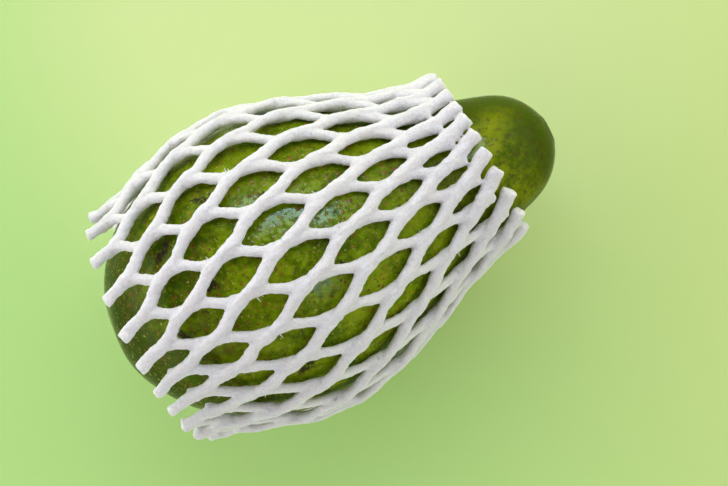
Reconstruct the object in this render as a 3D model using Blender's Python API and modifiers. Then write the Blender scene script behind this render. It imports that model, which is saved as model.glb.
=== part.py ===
"""A large green avocado lying on its side in a net sleeve of foam strands.

Metres, +Z up, the neck towards +X, the ground at z = 0. A place on the object is first given along
the fruit's own axis, from the wide end (0) to the tip of the neck, and as an angle round that axis,
from the top down to the side at -Y. The neck droops a little, and the foam under the fruit is pressed
to a small flat spot.
"""
import math

import bmesh
import bpy
import numpy as np
from mathutils import Matrix, Vector

MM = 0.001
DEGREE = math.pi / 180

# The fruit: its length, and how full its outline is at places from the neck tip (-1) to the wide end
# (1), as the half width in millimetres of the ellipse that passes through it there
FRUIT_LENGTH = 159.3 * MM
FULLNESS_PLACES = [-1.0, -0.86, -0.70, -0.46, -0.29, 0.0, 0.28, 0.55, 0.85, 1.0]
FULLNESS_SIZES = [40.1, 34.3, 31.5, 33.6, 37.8, 45.9, 51.2, 53.7, 56.7, 60.1]
FULLNESS_DEGREE = 6
STEM_SCAR_RADIUS = 3.5 * MM
STEM_SCAR_DEPTH = 0.9 * MM
OUTLINE_POINTS = 30
TURN_STEPS = 44
OUTLINE_SAMPLES = 400

# How the object lies: the droop of the neck, the pressed foam under the fruit, and what brings the
# box to the origin
DROOP = 7.0 * DEGREE
FRUIT_LIFT = 3.0 * MM
ORIGIN_ALONG = 78.83 * MM
ORIGIN_SIDE = 0.03 * MM

# The sleeve's two layers of strands. The way a layer winds, its middle's height over the fruit, its
# strands' width, how a strand swings between two junctions (the first and second wave), and where it
# turns, in rows
STRANDS = 24
OUTER = {
    "name": "outer",
    "way": -1,
    "height": 3.25 * MM,
    "width": 3.8 * MM,
    "swing": (0.42, -0.26),
    "turns": (-0.28, 0.28),
}
INNER = {
    "name": "inner",
    "way": 1,
    "height": 2.4 * MM,
    "width": 3.2 * MM,
    "swing": (0.68, -0.36),
    "turns": (-0.28, 0.28),
}
MIDDLE_HEIGHT = 2.4 * MM

# Where the sleeve hangs free of the fruit, at the wide end and at the mouth: its radius there, and how
# far the free ring lies to the side at -Y and to the top
FREE_RADIUS = (40.4 * MM, 26.9 * MM)
FREE_SIDE = (0.7 * MM, -3.7 * MM)
FREE_TOP = (4.5 * MM, -2.1 * MM)
FREE_SHARPNESS = 16
TAPER_FROM = 60 * MM
TAPER_TO = 105 * MM

# The cut ends of the sleeve, along the axis, with how they slant to the side and to the top. An inner
# strand is cut off sooner, this part of a row past its last junction at the wide end and at the mouth
WIDE_CUT = (12.6 * MM, 1.1 * MM, 0.0)
MOUTH_CUT = (134.4 * MM, 2.2 * MM, 2.1 * MM)
INNER_STUBS = (0.22, 0.39)

# The share of its turn that a strand still makes past its last junction at the wide end, where it is
# free: a constant and a part that goes with the side
FINGER_SPREAD = (0.55, 0.50)

# The rows of junctions: their places along the axis and their slants, each as a curve in the row's number
ROW_PLACE = (74.36 * MM, 18.33 * MM, 0.108 * MM, -0.222 * MM)
SIDE_SLANT = (10.35 * MM, 0.13 * MM, -0.32 * MM)
TOP_SLANT = (-3.28 * MM, 0.86 * MM)
SADDLE_SLANT = -1.63 * MM

# How the net is twisted round the fruit, and how its strands crowd towards the top, again as curves in
# the row
TWIST = (-11.5 * DEGREE, -0.914 * DEGREE, -0.094 * DEGREE)
SIDE_CROWDING = (7.3 * DEGREE, 0.65 * DEGREE, -0.53 * DEGREE)
TOP_CROWDING = -3.6 * DEGREE
END_CROWDING = -1.85 * DEGREE

# How the net changes towards the mouth. Past one row its rows spread and the whole net turns, both with
# the square of the way past it, and over these rows its strands come to run straighter and swell
MOUTH_ROW = 2.5
MOUTH_STRETCH = (1.96 * MM, 1.57 * MM)
MOUTH_TURN = (-2.12 * DEGREE, -2.14 * DEGREE)
MOUTH_ROWS = (2.0, 3.5)
MOUTH_SWING = -0.26
MOUTH_SWELLING = 0.21

# How the strands' middle lines are sampled, and how their fused mesh is cleaned
FIRST_ROW = -4.7
LAST_ROW = 5
ROW_SAMPLES = 1200
END_MARGIN = 0.06
QUARTER_FLAT = 45 * DEGREE
WELD = 0.01 * MM
FLAT_ENOUGH = 6.5 * DEGREE

# The block that flattens the foam where it is pressed on the ground
GROUND_BLOCK = 200 * MM

# Materials: name, colour and roughness
SKIN = ("green_skin", (0.09, 0.16, 0.006, 1.0), 0.32)
FOAM = ("white_foam", (0.86, 0.86, 0.88, 1.0), 0.62)


def clear_scene():
    """Removes whatever the open file holds."""
    for thing in list(bpy.data.objects):
        bpy.data.objects.remove(thing)


def make_collection(name):
    """A collection linked to the scene."""
    collection = bpy.data.collections.new(name)
    bpy.context.scene.collection.children.link(collection)
    return collection


def make_material(name, colour, roughness):
    """A Principled material of one colour, with no metal in it."""
    material = bpy.data.materials.new(name)
    material.use_nodes = True
    shader = material.node_tree.nodes["Principled BSDF"]
    shader.inputs["Base Color"].default_value = colour
    shader.inputs["Roughness"].default_value = roughness
    shader.inputs["Metallic"].default_value = 0.0
    return material


def fruit_radius(along):
    """The fruit's radius: the circle over its length, times a smooth curve through the fullness sizes."""
    place = np.clip(1 - 2 * along / FRUIT_LENGTH, -1, 1)
    curve = np.polyfit(FULLNESS_PLACES, FULLNESS_SIZES, FULLNESS_DEGREE)
    return np.sqrt(1 - place ** 2) * np.polyval(curve, place) * MM


def resting_matrix():
    """Turns places in the axis frame (along, side, up) into world places, the fruit clear of the ground."""
    turn = Matrix.Rotation(DROOP, 4, "Y")
    along = np.linspace(0, FRUIT_LENGTH, OUTLINE_SAMPLES)
    underside = -along * math.sin(DROOP) - fruit_radius(along) * math.cos(DROOP)
    shift = Vector((-ORIGIN_ALONG, ORIGIN_SIDE, FRUIT_LIFT - float(underside.min())))
    return Matrix.Translation(shift) @ turn


def make_avocado(collection, place):
    """The fruit: its outline turned round the axis, with a shallow scar where the stem was."""
    angles = np.linspace(math.pi, 0, OUTLINE_POINTS)
    along = FRUIT_LENGTH / 2 * (1 - np.cos(angles))
    radius = fruit_radius(along)
    at_neck = along > FRUIT_LENGTH / 2
    scar = STEM_SCAR_DEPTH * np.exp(-(radius / STEM_SCAR_RADIUS) ** 2)
    along = along - np.where(at_neck, scar, 0)
    points = [(float(r), 0.0, float(a)) for r, a in zip(radius, along)]
    mesh = bpy.data.meshes.new("avocado")
    mesh.from_pydata(points, [(i, i + 1) for i in range(len(points) - 1)], [])
    avocado = bpy.data.objects.new("avocado", mesh)
    collection.objects.link(avocado)
    screw = avocado.modifiers.new("turned", "SCREW")
    screw.axis = "Z"
    screw.angle = 2 * math.pi
    screw.steps = TURN_STEPS
    screw.render_steps = TURN_STEPS
    screw.use_merge_vertices = True
    screw.merge_threshold = WELD
    screw.use_smooth_shade = True
    avocado.matrix_world = place @ Matrix.Rotation(math.pi / 2, 4, "Y")
    mesh.materials.append(make_material(*SKIN))
    return avocado


def curve_value(parts, row):
    """The value of a curve at a row: a constant, a part times the row, one times its square, and on."""
    return sum(part * row ** power for power, part in enumerate(parts))


def mouth_part(parts, row, angle):
    """What the mouth adds: a constant and a part that goes with the side, times the square past its row."""
    return (parts[0] + parts[1] * np.sin(angle)) * np.maximum(row - MOUTH_ROW, 0) ** 2


def mouth_share(row):
    """How far a row is on the way to the mouth, from 0 to 1."""
    return np.clip((row - MOUTH_ROWS[0]) / (MOUTH_ROWS[1] - MOUTH_ROWS[0]), 0, 1)


def row_place(row, angle):
    """The place along the axis of a row of junctions, at an angle round it."""
    side = curve_value(SIDE_SLANT, row) * np.sin(angle)
    top = curve_value(TOP_SLANT, row) * np.cos(angle)
    even = curve_value(ROW_PLACE, row) + side + top + SADDLE_SLANT * np.sin(2 * angle)
    return even + mouth_part(MOUTH_STRETCH, row, angle)


def cut_place(cut, angle):
    """The place along the axis of one of the sleeve's cut ends, at an angle round it."""
    return cut[0] + cut[1] * np.sin(angle) + cut[2] * np.cos(angle)


def crowded(angle, row):
    """The angle to which the net's uneven stretch moves an even one."""
    side = curve_value(SIDE_CROWDING, row) * np.sin(angle)
    return angle + side + TOP_CROWDING * np.sin(2 * angle) + END_CROWDING * row * np.cos(2 * angle)


def strand_angle(row, lane, layer):
    """The angle of a strand: half a lane forth or back a row, swinging aside between the junctions."""
    turn = 2 * math.pi * (row - np.round(row))
    first, second = layer["swing"]
    first = first + MOUTH_SWING * mouth_share(row)
    swing = row - first * np.sin(turn) / (2 * math.pi) - second * np.sin(2 * turn) / (4 * math.pi)
    even = curve_value(TWIST, row) + math.pi / STRANDS * (lane + layer["way"] * swing)
    return crowded(even + mouth_part(MOUTH_TURN, row, even), row)


def finger_angle(rows, lane, layer, junction):
    """The angle of a strand whose free finger runs straighter past its last junction at the wide end."""
    angle = strand_angle(rows, lane, layer)
    held = strand_angle(junction, lane, layer)
    spread = np.clip(FINGER_SPREAD[0] + FINGER_SPREAD[1] * np.sin(held), 0, 1)
    return np.where(rows < junction, held + (angle - held) * spread, angle)


def sleeve_radius(along, angle):
    """The radius of the sleeve's middle: the fruit's and the foam's, or the free end's, with no kink."""
    taper = np.clip((along - TAPER_FROM) / (TAPER_TO - TAPER_FROM), 0, 1)
    taper = taper * taper * (3 - 2 * taper)
    free_ends = (FREE_RADIUS, FREE_SIDE, FREE_TOP)
    radius, side, top = (wide + (mouth - wide) * taper for wide, mouth in free_ends)
    free = radius + side * np.sin(angle) + top * np.cos(angle)
    held = fruit_radius(along) + MIDDLE_HEIGHT
    return (free ** FREE_SHARPNESS + held ** FREE_SHARPNESS) ** (1 / FREE_SHARPNESS)


def strand_ends(lane, layer):
    """The two rows, whole and part, at which a strand is cut off."""
    rows = np.linspace(FIRST_ROW, LAST_ROW, ROW_SAMPLES)
    angle = strand_angle(rows, lane, layer)
    along = row_place(rows, angle)
    kept = (along > cut_place(WIDE_CUT, angle)) & (along < cut_place(MOUTH_CUT, angle))
    first, last = rows[kept][0], rows[kept][-1]
    if layer is INNER:
        first = max(first, math.ceil(first) - INNER_STUBS[0])
        last = min(last, math.floor(last) + INNER_STUBS[1])
    return first, last


def strand_points(lane, layer, place):
    """A strand's middle line, turning near each junction: world points, the ways out and the swelling."""
    first, last = strand_ends(lane, layer)
    bends = [row + turn for row in range(round(FIRST_ROW), LAST_ROW + 1) for turn in layer["turns"]]
    between = [bend for bend in bends if first + END_MARGIN < bend < last - END_MARGIN]
    rows = np.array([first] + between + [last])
    angle = finger_angle(rows, lane, layer, math.ceil(first))
    along = row_place(rows, angle)
    swelling = 1 + MOUTH_SWELLING * mouth_share(rows)
    radius = sleeve_radius(along, angle) + layer["height"] * swelling - MIDDLE_HEIGHT
    outward = [place.to_3x3() @ Vector((0, -math.sin(turn), math.cos(turn))) for turn in angle]
    middle = [place @ Vector((a, 0, 0)) + float(r) * out for a, r, out in zip(along, radius, outward)]
    return middle, outward, swelling


def flat_tilt(before, after, outward):
    """The tilt that lays a four-sided tube's flats along the fruit, from where the tube's own up points."""
    along = (after - before).normalized()
    up = Vector((0, 0, 1))
    up = (up - up.dot(along) * along).normalized()
    out = (outward - outward.dot(along) * along).normalized()
    return math.atan2(up.cross(out).dot(along), up.dot(out)) + QUARTER_FLAT


def make_strand(name, middle, width, collection):
    """One strand as a closed square tube, swept along its middle line with its flats along the fruit."""
    points, outward, swelling = middle
    curve = bpy.data.curves.new(name, "CURVE")
    curve.dimensions = "3D"
    curve.twist_mode = "Z_UP"
    curve.bevel_depth = width / math.sqrt(2)
    curve.bevel_resolution = 0
    curve.use_fill_caps = True
    spline = curve.splines.new("POLY")
    spline.points.add(len(points) - 1)
    for index, target in enumerate(spline.points):
        before = points[max(index - 1, 0)]
        after = points[min(index + 1, len(points) - 1)]
        target.co = (*points[index], 1)
        target.tilt = flat_tilt(before, after, outward[index])
        target.radius = swelling[index]
    sweep = bpy.data.objects.new(name, curve)
    collection.objects.link(sweep)
    bpy.context.view_layer.update()
    evaluated = sweep.evaluated_get(bpy.context.evaluated_depsgraph_get())
    mesh = bpy.data.meshes.new_from_object(evaluated)
    strand = bpy.data.objects.new(name, mesh)
    strand.matrix_world = sweep.matrix_world
    collection.objects.link(strand)
    bpy.data.objects.remove(sweep)
    body = bmesh.new()
    body.from_mesh(mesh)
    bmesh.ops.remove_doubles(body, verts=body.verts, dist=WELD)
    body.to_mesh(mesh)
    body.free()
    return strand


def apply_modifiers(target):
    """Puts the evaluated mesh in the object and drops its modifiers."""
    bpy.context.view_layer.update()
    evaluated = target.evaluated_get(bpy.context.evaluated_depsgraph_get())
    target.data = bpy.data.meshes.new_from_object(evaluated)
    target.modifiers.clear()


def merge_slivers(target):
    """Joins the slivers that the union leaves on nearly flat stretches, and makes the rest triangles."""
    body = bmesh.new()
    body.from_mesh(target.data)
    bmesh.ops.dissolve_limit(body, angle_limit=FLAT_ENOUGH, verts=body.verts, edges=body.edges)
    bmesh.ops.triangulate(body, faces=body.faces)
    body.to_mesh(target.data)
    body.free()


def make_strands(collection, place):
    """Every strand of both layers, the outer ones running one way round and the inner ones the other."""
    for layer in (OUTER, INNER):
        for index in range(STRANDS):
            middle = strand_points(2 * index + 1, layer, place)
            make_strand(f"{layer['name']}_strand_{index}", middle, layer["width"], collection)


def make_sleeve(collection, cutters, place):
    """The foam net: its strands fused where they cross, and pressed flat where it lies on the ground."""
    strands = make_collection("strands")
    make_strands(strands, place)
    sleeve = strands.objects[0]
    strands.objects.unlink(sleeve)
    collection.objects.link(sleeve)
    sleeve.name = "foam_net_sleeve"
    union = sleeve.modifiers.new("fused", "BOOLEAN")
    union.operation = "UNION"
    union.operand_type = "COLLECTION"
    union.collection = strands
    union.solver = "MANIFOLD"
    flatten = sleeve.modifiers.new("pressed_flat", "BOOLEAN")
    flatten.operation = "DIFFERENCE"
    flatten.object = make_ground_block(cutters)
    flatten.solver = "MANIFOLD"
    apply_modifiers(sleeve)
    for strand in list(strands.objects):
        bpy.data.objects.remove(strand)
    bpy.data.collections.remove(strands)
    merge_slivers(sleeve)
    sleeve.data.materials.clear()
    sleeve.data.materials.append(make_material(*FOAM))
    return sleeve


def make_ground_block(cutters):
    """The cutter below the ground."""
    bpy.ops.mesh.primitive_cube_add(size=GROUND_BLOCK, location=(0, 0, -GROUND_BLOCK / 2))
    block = bpy.context.object
    block.name = "ground_block"
    for owner in list(block.users_collection):
        owner.objects.unlink(block)
    cutters.objects.link(block)
    block.hide_render = True
    block.display_type = "WIRE"
    return block


def main():
    """Builds both pieces where the object rests."""
    clear_scene()
    parts = make_collection("avocado_in_foam_net")
    cutters = make_collection("cutters")
    place = resting_matrix()
    make_avocado(parts, place)
    make_sleeve(parts, cutters, place)


main()
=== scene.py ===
# %% [markdown]
# # A green avocado in its foam net sleeve
# The fruit is one smooth, glossy body. The sleeve is a tube of foam strands: an outer layer winds one way
# round the fruit, an inner layer winds the other way, and the two are welded where they cross. The packed
# model gives the frame; here both pieces are made again, finer, from the same measures, and get their
# finish.

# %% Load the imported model
import math

import bpy
import numpy as np
from mathutils import Matrix


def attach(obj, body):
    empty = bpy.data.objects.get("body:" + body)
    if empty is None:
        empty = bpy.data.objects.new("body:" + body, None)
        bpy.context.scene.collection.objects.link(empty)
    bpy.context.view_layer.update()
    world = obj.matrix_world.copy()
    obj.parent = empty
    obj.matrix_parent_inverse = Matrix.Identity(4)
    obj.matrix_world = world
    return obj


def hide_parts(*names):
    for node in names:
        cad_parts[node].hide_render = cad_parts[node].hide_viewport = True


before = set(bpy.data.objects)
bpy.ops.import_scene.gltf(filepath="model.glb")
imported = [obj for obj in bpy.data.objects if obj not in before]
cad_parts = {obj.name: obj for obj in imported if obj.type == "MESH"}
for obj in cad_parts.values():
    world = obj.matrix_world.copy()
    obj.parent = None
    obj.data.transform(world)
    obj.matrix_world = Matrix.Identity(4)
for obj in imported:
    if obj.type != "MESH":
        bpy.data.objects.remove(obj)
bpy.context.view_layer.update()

print("nodes:", sorted(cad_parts))

# %% [markdown]
# ## Measures
# Two kinds of measures drive everything: the outline of the fruit, and the lattice of the net. A place on
# the object is given along the fruit's axis, from the wide end (0) to the tip of the neck, and as an
# angle round it, from the top down to the side at -Y. They are the values that the solids were made from.
# Only the strands' own size and the two cuts are a little larger here, because melting and smoothing
# shrink the strands.

# %% The fruit's measures and how it lies
MM = 0.001
DEGREE = math.pi / 180
FRUIT_LENGTH = 159.3 * MM
FULLNESS_PLACES = [-1.0, -0.86, -0.70, -0.46, -0.29, 0.0, 0.28, 0.55, 0.85, 1.0]
FULLNESS_SIZES = [40.1, 34.3, 31.5, 33.6, 37.8, 45.9, 51.2, 53.7, 56.7, 60.1]
FULLNESS_DEGREE = 6
DROOP = 7.0 * DEGREE
FRUIT_LIFT = 3.0 * MM
ORIGIN_ALONG = 78.83 * MM
ORIGIN_SIDE = 0.03 * MM
OUTLINE_SAMPLES = 400


def fruit_radius(along):
    """Radius = square root of (1 - place squared), times a smooth curve through the fullness sizes.

    The place runs from 1 at the wide end to -1 at the tip of the neck, so the root closes both ends roundly.
    """
    place = np.clip(1 - 2 * along / FRUIT_LENGTH, -1, 1)
    curve = np.polyfit(FULLNESS_PLACES, FULLNESS_SIZES, FULLNESS_DEGREE)
    return np.sqrt(1 - place ** 2) * np.polyval(curve, place) * MM


def axis_height():
    """Height of the axis at the wide end that leaves the fruit's underside just clear of the floor."""
    along = np.linspace(0, FRUIT_LENGTH, OUTLINE_SAMPLES)
    underside = -along * math.sin(DROOP) - fruit_radius(along) * math.cos(DROOP)
    return FRUIT_LIFT - float(underside.min())


AXIS_HEIGHT = axis_height()


def to_world(along, side, up):
    """World places = the axis frame turned down by the droop about Y, then moved to rest on the floor."""
    x = along * math.cos(DROOP) + up * math.sin(DROOP) - ORIGIN_ALONG
    y = side + ORIGIN_SIDE
    z = up * math.cos(DROOP) - along * math.sin(DROOP) + AXIS_HEIGHT
    return np.stack(np.broadcast_arrays(x, y, z), axis=-1)


def from_world(points):
    """The way back: how far along the axis, to the side and up from it an array of world places lies."""
    x = points[..., 0] + ORIGIN_ALONG
    z = points[..., 2] - AXIS_HEIGHT
    along = x * math.cos(DROOP) - z * math.sin(DROOP)
    up = x * math.sin(DROOP) + z * math.cos(DROOP)
    return along, points[..., 1] - ORIGIN_SIDE, up


print("axis height at the wide end, mm:", round(AXIS_HEIGHT / MM, 2))

# %% [markdown]
# The rows of junctions lean and crowd unevenly, because the net is stretched over a body that is wide at
# one end. So a row's place, the net's twist and its crowding are each a short curve in the row's number.
# Between two junctions a strand swings a little to the side, which gives the openings their shape of a
# leaf.

# %% The net's measures
STRANDS = 24
OUTER = {
    "way": -1,
    "height": 3.3 * MM,
    "dip": 0.6 * MM,
    "rise": 0.0,
    "width": 4.15 * MM,
    "depth": 3.5 * MM,
    "swing": (0.42, -0.26),
    "stubs": (1.0, 1.0),
    "seed": 5,
}
INNER = {
    "way": 1,
    "height": 2.2 * MM,
    "dip": 0.0,
    "rise": 0.45 * MM,
    "width": 3.5 * MM,
    "depth": 3.0 * MM,
    "swing": (0.68, -0.36),
    "stubs": (0.22, 0.39),
    "seed": 6,
}
MIDDLE_HEIGHT = 2.4 * MM
FREE_RADIUS = (40.4 * MM, 26.9 * MM)
FREE_SIDE = (0.7 * MM, -3.7 * MM)
FREE_TOP = (4.5 * MM, -2.1 * MM)
FREE_SHARPNESS = 16
TAPER_FROM = 60 * MM
TAPER_TO = 105 * MM
WIDE_CUT = (12.3 * MM, 1.1 * MM, 0.0)
MOUTH_CUT = (135.2 * MM, 2.2 * MM, 2.1 * MM)
ROW_PLACE = (74.36 * MM, 18.33 * MM, 0.108 * MM, -0.222 * MM)
SIDE_SLANT = (10.35 * MM, 0.13 * MM, -0.32 * MM)
TOP_SLANT = (-3.28 * MM, 0.86 * MM)
SADDLE_SLANT = -1.63 * MM
TWIST = (-11.5 * DEGREE, -0.914 * DEGREE, -0.094 * DEGREE)
SIDE_CROWDING = (7.3 * DEGREE, 0.65 * DEGREE, -0.53 * DEGREE)
TOP_CROWDING = -3.6 * DEGREE
END_CROWDING = -1.85 * DEGREE
FINGER_SPREAD = (0.55, 0.50)
MOUTH_ROW = 2.5
MOUTH_STRETCH = (1.96 * MM, 1.57 * MM)
MOUTH_TURN = (-2.12 * DEGREE, -2.14 * DEGREE)
MOUTH_ROWS = (2.0, 3.5)
MOUTH_SWING = -0.26
MOUTH_SWELLING = 0.21
FIRST_ROW = -4.7
LAST_ROW = 5
ROW_SAMPLES = 1200


def curve_value(parts, row):
    """A curve in the row = a constant, plus a part times the row, plus a part times its square, and on."""
    return sum(part * row ** power for power, part in enumerate(parts))


def mouth_part(parts, row, angle):
    """The mouth's part = a constant and a part times the angle's sine, times the square past MOUTH_ROW."""
    return (parts[0] + parts[1] * np.sin(angle)) * np.maximum(row - MOUTH_ROW, 0) ** 2


def mouth_share(row):
    """How far a row is on the way to the mouth = its place between the two MOUTH_ROWS, kept in 0 to 1."""
    return np.clip((row - MOUTH_ROWS[0]) / (MOUTH_ROWS[1] - MOUTH_ROWS[0]), 0, 1)


def row_place(row, angle):
    """Place along the axis = the row's curve, plus slants with the angle's sine and cosine and the mouth."""
    side = curve_value(SIDE_SLANT, row) * np.sin(angle)
    top = curve_value(TOP_SLANT, row) * np.cos(angle)
    even = curve_value(ROW_PLACE, row) + side + top + SADDLE_SLANT * np.sin(2 * angle)
    return even + mouth_part(MOUTH_STRETCH, row, angle)


def cut_place(cut, angle):
    """A cut end's place along the axis = a constant plus parts with the sine and cosine of the angle."""
    return cut[0] + cut[1] * np.sin(angle) + cut[2] * np.cos(angle)


def crowded(angle, row):
    """Angle = an evenly spread one, plus waves of once and twice round that crowd the strands."""
    side = curve_value(SIDE_CROWDING, row) * np.sin(angle)
    return angle + side + TOP_CROWDING * np.sin(2 * angle) + END_CROWDING * row * np.cos(2 * angle)


def swing_place(row, layer):
    """The row, less two sine waves that straighten the strand at each junction, fewer near the mouth."""
    turn = 2 * math.pi * (row - np.round(row))
    first, second = layer["swing"]
    first = first + MOUTH_SWING * mouth_share(row)
    return row - first * np.sin(turn) / (2 * math.pi) - second * np.sin(2 * turn) / (4 * math.pi)


def strand_angle(row, lane, layer):
    """Angle = twist + half a lane a row, one way round or the other, turned at the mouth, then crowded."""
    even = curve_value(TWIST, row) + math.pi / STRANDS * (lane + layer["way"] * swing_place(row, layer))
    return crowded(even + mouth_part(MOUTH_TURN, row, even), row)


def finger_angle(row, lane, layer, junction):
    """Angle with free fingers: past the last junction its change gets a share that follows the sine."""
    angle = strand_angle(row, lane, layer)
    held = strand_angle(junction, lane, layer)
    spread = np.clip(FINGER_SPREAD[0] + FINGER_SPREAD[1] * np.sin(held), 0, 1)
    return np.where(row < junction, held + (angle - held) * spread, angle)


def sleeve_radius(along, angle):
    """Radius = a smooth maximum, by a sum of high powers, of the dressed fruit's and the free end's."""
    taper = np.clip((along - TAPER_FROM) / (TAPER_TO - TAPER_FROM), 0, 1)
    taper = taper * taper * (3 - 2 * taper)
    radius, side, top = (wide + (mouth - wide) * taper for wide, mouth in (FREE_RADIUS, FREE_SIDE, FREE_TOP))
    free = radius + side * np.sin(angle) + top * np.cos(angle)
    held = fruit_radius(along) + MIDDLE_HEIGHT
    return (free ** FREE_SHARPNESS + held ** FREE_SHARPNESS) ** (1 / FREE_SHARPNESS)


print("strands each way:", STRANDS)

# %% [markdown]
# ## From arrays to meshes
# Every piece here is a tube of rings: the fruit is one fat tube that closes at both ends, a strand is a
# thin one. One helper turns an array of rings into a closed mesh, with a fan of triangles over each end.
# Working on whole arrays keeps it quick, and the sign of the volume tells whether the faces look outward.

# %% Rings to a closed mesh


def ring_faces(count, rows, columns):
    """Quads between neighbouring rings: corner = tube * rows * columns + row * columns + column, wrapped."""
    tube, row, column = np.meshgrid(np.arange(count), np.arange(rows - 1), np.arange(columns), indexing="ij")
    start = tube * rows * columns + row * columns
    after = (column + 1) % columns
    above = start + columns
    quads = np.stack([start + column, start + after, above + after, above + column], axis=-1)
    return quads.reshape(-1, 4)


def cap_faces(count, rows, columns, first_centre):
    """Triangles from each end ring to the centre point that closes it, wound to match the quads."""
    tube, column = np.meshgrid(np.arange(count), np.arange(columns), indexing="ij")
    after = (column + 1) % columns
    low = tube * rows * columns
    high = low + (rows - 1) * columns
    bottom = np.stack([low + after, low + column, first_centre + 2 * tube], axis=-1)
    top = np.stack([high + column, high + after, first_centre + 2 * tube + 1], axis=-1)
    return np.concatenate([bottom.reshape(-1, 3), top.reshape(-1, 3)])


def signed_volume(points, triangles):
    """Volume = a sixth of the sum of each triangle's corner . (corner x corner), negative if inside out."""
    a, b, c = (points[triangles[:, corner]] for corner in range(3))
    return float(np.einsum("ij,ij->", a, np.cross(b, c)) / 6)


def piece_from_rings(name, rings):
    """A closed, smooth piece from rings of points, an array of (tubes, rows, columns, 3)."""
    count, rows, columns, _ = rings.shape
    centres = np.stack([rings[:, 0].mean(axis=1), rings[:, -1].mean(axis=1)], axis=1).reshape(-1, 3)
    points = np.concatenate([rings.reshape(-1, 3), centres])
    quads = ring_faces(count, rows, columns)
    caps = cap_faces(count, rows, columns, count * rows * columns)
    triangles = np.concatenate([quads[:, :3], quads[:, [0, 2, 3]], caps])
    if signed_volume(points, triangles) < 0:
        quads, caps = quads[:, ::-1], caps[:, ::-1]
    mesh = bpy.data.meshes.new(name)
    mesh.from_pydata(points.tolist(), [], quads.tolist() + caps.tolist())
    mesh.polygons.foreach_set("use_smooth", np.ones(len(mesh.polygons), dtype=bool))
    mesh.update()
    piece = bpy.data.objects.new(name, mesh)
    bpy.context.scene.collection.objects.link(piece)
    return piece


def mesh_points(mesh):
    """A mesh's points as one array of (points, 3)."""
    flat = np.empty(len(mesh.vertices) * 3)
    mesh.vertices.foreach_get("co", flat)
    return flat.reshape(-1, 3)


def mesh_normals(mesh):
    """The normals at a mesh's points as one array of (points, 3)."""
    flat = np.empty(len(mesh.vertices) * 3)
    mesh.vertices.foreach_get("normal", flat)
    return flat.reshape(-1, 3)


def ripples(points, shortest, longest, waves, seed):
    """A random bumpy field, about -1 to 1 = a sum of sine waves in random directions over its usual size."""
    draw = np.random.default_rng(seed)
    directions = draw.normal(size=(waves, 3))
    directions /= np.linalg.norm(directions, axis=1, keepdims=True)
    lengths = np.exp(draw.uniform(math.log(shortest), math.log(longest), waves))
    phases = draw.uniform(0, 2 * math.pi, waves)
    total = np.zeros(len(points))
    for direction, length, phase in zip(directions, lengths, phases):
        total += np.sin(points @ direction * (2 * math.pi / length) + phase)
    return total / math.sqrt(waves)


print("mesh tools ready")

# %% [markdown]
# ## The fruit
# An avocado is a pear of revolution that grew a little unevenly: its skin swells and dips by a few tenths
# of a millimetre. A turned profile would look machined, so slow ripples push the skin out and in. The tip
# of the neck has the small sunken scar where the stem broke off, with a low rim round it.

# %% Make the fruit
FRUIT_ROWS = 300
FRUIT_COLUMNS = 300
POLE_GAP = 0.004
SKIN_RIPPLE = 0.22 * MM
SKIN_RIPPLE_LENGTHS = (14 * MM, 45 * MM)
SKIN_RIPPLE_WAVES = 40
SKIN_SEED = 3
SCAR_RADIUS = 3.2 * MM
SCAR_DEPTH = 0.9 * MM
SCAR_RIM_RADIUS = 4.6 * MM
SCAR_RIM_HEIGHT = 0.25 * MM
SCAR_RIM_WIDTH = 1.2 * MM


def fruit_rings():
    """Rings = the radius at each place along the axis, swept round, with the scar as a dip in the place."""
    turn = np.linspace(POLE_GAP, math.pi - POLE_GAP, FRUIT_ROWS)[:, None]
    along = FRUIT_LENGTH / 2 * (1 - np.cos(turn))
    radius = fruit_radius(along)
    angle = np.linspace(0, 2 * math.pi, FRUIT_COLUMNS, endpoint=False)[None, :]
    at_neck = along > FRUIT_LENGTH / 2
    dip = SCAR_DEPTH * np.exp(-(radius / SCAR_RADIUS) ** 4)
    rim = SCAR_RIM_HEIGHT * np.exp(-((radius - SCAR_RIM_RADIUS) / SCAR_RIM_WIDTH) ** 2)
    along = along + np.where(at_neck, rim - dip, 0)
    return to_world(along, -radius * np.sin(angle), radius * np.cos(angle))[None]


def make_fruit():
    """The fruit's mesh, with slow ripples pushed along its normals."""
    fruit = piece_from_rings("avocado_fruit", fruit_rings())
    mesh = fruit.data
    points = mesh_points(mesh)
    ripple = ripples(points, *SKIN_RIPPLE_LENGTHS, waves=SKIN_RIPPLE_WAVES, seed=SKIN_SEED)
    points = points + mesh_normals(mesh) * (SKIN_RIPPLE * ripple)[:, None]
    mesh.vertices.foreach_set("co", points.ravel())
    mesh.update()
    return fruit


fruit = make_fruit()
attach(fruit, "root")
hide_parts("avocado")
print("fruit faces:", len(fruit.data.polygons))

# %% [markdown]
# ## The net sleeve
# On the real sleeve the strands come out of two rings of nozzles that turn against each other, and the
# soft foam welds itself at each crossing. So each strand is swept along its own path first. Then one
# voxel remesh melts all of them into a single skin, as the welding does, and a little smoothing rounds
# the seams.

# %% Sweep the strands
STRAND_ROWS = 190
STRAND_COLUMNS = 12
THICKNESS_WAVE = 0.07
THICKNESS_LENGTHS = (5 * MM, 22 * MM)
PATH_WANDER = 0.22 * MM
PATH_LENGTHS = (10 * MM, 40 * MM)
PATH_SEED = 11
STRAND_WAVES = 30


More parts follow.
